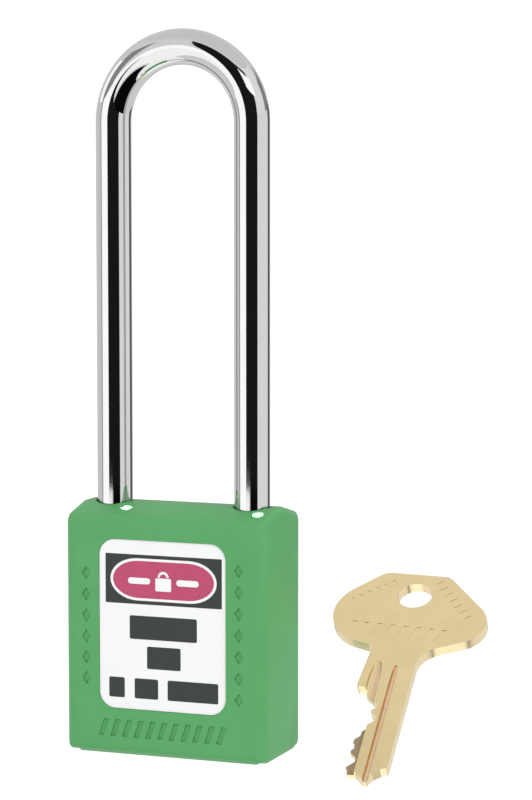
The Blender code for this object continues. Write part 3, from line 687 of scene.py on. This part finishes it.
NODE_FINISHES = {
    "bottom_cover": GREEN_COVER,
    "inner_chassis": ZINC,
    "cylinder_shell": BRASS,
    "chamber_cover": BRASS,
    "cylinder_plug": NICKEL,
    "plug_clip": WIRE,
    "shackle_spring": WIRE,
    "locking_cam": GROUND_STEEL,
    "locking_ball_toe": GROUND_STEEL,
    "locking_ball_heel": GROUND_STEEL,
    "cylinder_retaining_screw": GROUND_STEEL,
}
for number in range(1, 7):
    NODE_FINISHES[f"key_pin_{number}"] = BRASS
    NODE_FINISHES[f"driver_pin_{number}"] = BRASS
    NODE_FINISHES[f"pin_spring_{number}"] = WIRE


def dress_nodes():
    for name, material in NODE_FINISHES.items():
        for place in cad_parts[name].material_slots:
            place.material = material


# ---------------------------------------------------------------- studio

def emitter(name, value):
    made = bpy.data.materials.new(name)
    made.use_nodes = True
    tree = made.node_tree
    tree.nodes.clear()
    output = tree.nodes.new("ShaderNodeOutputMaterial")
    light = tree.nodes.new("ShaderNodeEmission")
    light.inputs["Color"].default_value = (value, value, value, 1.0)
    light.inputs["Strength"].default_value = 1.0
    link(tree, light, "Emission", output, "Surface")
    return made


def reflected_card(name, left, right, low, high, value, radius):
    """Part of a sphere that only reflections see, between two bearings from the camera and two elevations."""
    shape = bmesh.new()
    columns = max(1, round((right - left) / 4))
    rows = max(1, round((high - low) / 4))
    grid = []
    for i in range(columns + 1):
        bearing = CAMERA_TURN + math.radians(left + (right - left) * i / columns)
        column = []
        for j in range(rows + 1):
            rise = math.radians(low + (high - low) * j / rows)
            flat = radius * math.cos(rise)
            height = CARDS_MIDDLE_Z + radius * math.sin(rise)
            column.append(shape.verts.new((flat * math.sin(bearing), -flat * math.cos(bearing), height)))
        grid.append(column)
    for here, there in zip(grid, grid[1:]):
        for j in range(rows):
            shape.faces.new((here[j], there[j], there[j + 1], here[j + 1]))
    mesh = bpy.data.meshes.new(name)
    shape.to_mesh(mesh)
    shape.free()
    card = bpy.data.objects.new(name, mesh)
    bpy.context.scene.collection.objects.link(card)
    mesh.materials.append(emitter(name, value))
    card.visible_camera = False
    card.visible_diffuse = False
    card.visible_shadow = False
    card.visible_transmission = False


# What the chrome reflects: bearings from the camera (right is positive) and elevations in degrees.
# A card lower in the list stands in front of the ones above it.
CARDS = (
    ("card_around", -180, 180, -90, 90, 0.85),
    ("card_ceiling", -180, 180, 49, 90, 0.78),
    ("card_ground", -180, 180, -90, -60, 1.25),
    ("card_left_window", -180, -118, -8, 38, 0.8),
    ("card_left_window_edge", -118, -93, 2, 30, 1.4),
    ("card_left_window_top", -180, -125, 38, 48, 0.8),
    ("card_left_gap", -93, -61, -3, 36, 0.32),
    ("card_left_post", -61, -39, -6, 38, 0.9),
    ("card_left_table", -66, -18, -64, 0, 1.3),
    ("card_right_wall", 33, 99, -4, 49, 1.0),
    ("card_right_gap", 99, 140, -4, 32, 0.3),
    ("card_right_back", 140, 180, -4, 40, 0.75),
    ("card_dark_room", -39, 35, -8, 43, 0.012),
    ("card_dark_table", -12, 74, -57, -8, 0.004),
    ("card_right_window", 6, 45, 22, 38, 1.4),
    ("card_left_far", -160, -90, -10, 9, 0.77),
    ("card_left_line", -90, -83, -10, 9, 0.3),
    ("card_left_bright", -83, -39, -10, 9, 1.42),
    ("card_right_pale", 35, 118, -10, 9, 0.97),
    ("card_right_line", 118, 148, -10, 9, 0.12),
    ("card_right_far", 148, 160, -10, 9, 0.75),
    ("card_rim_left", -180, -160, -28, 18, 0.5),
    ("card_rim_right", 160, 180, -28, 18, 0.5),
)


# The cards' sphere, in metres: the outermost card, and how far each next card stands in front of the last
CARDS_MIDDLE_Z = 0.08
CARDS_RADIUS = 4.0
CARDS_APART = 0.1

# The studio's white, a little above the picture's
WHITE = 1.12
FLOOR_HALF = 20000.0

# Lamps: name, place and size in metres, watts. Both point at LAMP_AIM.
LAMPS = (
    ("key_light", (-0.6, -0.9, 1.1), 0.9, 2.0),
    ("fill_light", (1.2, -0.5, 0.7), 0.8, 5.0),
)
LAMP_AIM = Vector((0.0, 0.0, 0.05))

# Bright patches on the roof: name, and where the patch lies beside its leg, in millimetres
GLINTS = (("glint_heel", -LEG_X + 4.2, -4.6), ("glint_toe", LEG_X + 2.9, -4.8))
GLINT_DROP = 0.8
GLINT_SOURCE = (6.0, -20.0, 24.0)  # the spot lamp, from the point of the ridge's height over the patch
GLINT_SPREAD = math.radians(3.2)


def make_studio():
    world = bpy.data.worlds.new("studio")
    bpy.context.scene.world = world
    world.use_nodes = True
    tree = world.node_tree
    background = tree.nodes["Background"]
    background.inputs["Color"].default_value = (1.0, 1.0, 1.0, 1.0)
    background.inputs["Strength"].default_value = WHITE

    # The plain pale floor is lit from within like a light table, so nothing on it throws a dark shadow.
    shape = bmesh.new()
    bmesh.ops.create_grid(shape, x_segments=2, y_segments=2, size=FLOOR_HALF)
    floor = to_object(shape, "floor")
    floor.data.materials.append(emitter("floor_light", WHITE))
    floor.visible_glossy = False

    for step, (name, left, right, low, high, value) in enumerate(CARDS):
        reflected_card(name, left, right, low, high, value, CARDS_RADIUS - CARDS_APART * step)

    for name, place, size, watts in LAMPS:
        lamp = bpy.data.lights.new(name, "AREA")
        lamp.shape = "DISK"
        lamp.size = size
        lamp.energy = watts
        light = bpy.data.objects.new(name, lamp)
        light.location = place
        light.rotation_euler = (LAMP_AIM - Vector(place)).to_track_quat("-Z", "Y").to_euler()
        light.visible_glossy = False
        bpy.context.scene.collection.objects.link(light)
    for name, x, y in GLINTS:
        right, back, up = GLINT_SOURCE
        make_glint(name, (x, y, BODY_HEIGHT - GLINT_DROP), (x + right, y + back, BODY_HEIGHT + up))


def make_glint(name, spot, source):
    """The bright patch that light thrown back by a leg leaves on the roof beside it."""
    lamp = bpy.data.lights.new(name, "SPOT")
    lamp.energy = 1.0
    lamp.shadow_soft_size = 0.0004
    lamp.spot_size = GLINT_SPREAD
    lamp.spot_blend = 0.45
    light = bpy.data.objects.new(name, lamp)
    light.location = Vector(source) * MM
    light.rotation_euler = (Vector(spot) - Vector(source)).to_track_quat("-Z", "Y").to_euler()
    light.visible_glossy = False
    bpy.context.scene.collection.objects.link(light)


def make_camera():
    back = Vector((
        math.sin(CAMERA_TURN) * math.cos(CAMERA_RISE),
        -math.cos(CAMERA_TURN) * math.cos(CAMERA_RISE),
        math.sin(CAMERA_RISE),
    ))
    lens = bpy.data.cameras.new("camera")
    lens.lens = FOCAL_LENGTH
    lens.sensor_width = 36.0
    lens.sensor_fit = "AUTO"
    lens.clip_start = 0.01
    lens.clip_end = 100.0
    camera = bpy.data.objects.new("camera", lens)
    camera.location = (CAMERA_TARGET + back * CAMERA_DISTANCE) * MM
    camera.rotation_euler = (-back).to_track_quat("-Z", "Y").to_euler()
    bpy.context.scene.collection.objects.link(camera)
    bpy.context.scene.camera = camera


bpy.context.scene.view_settings.view_transform = "Standard"
make_camera()
make_studio()
make_body()
make_label("front", facing_front)
make_label("back", facing_back)
make_shackle()
make_key()
dress_nodes()
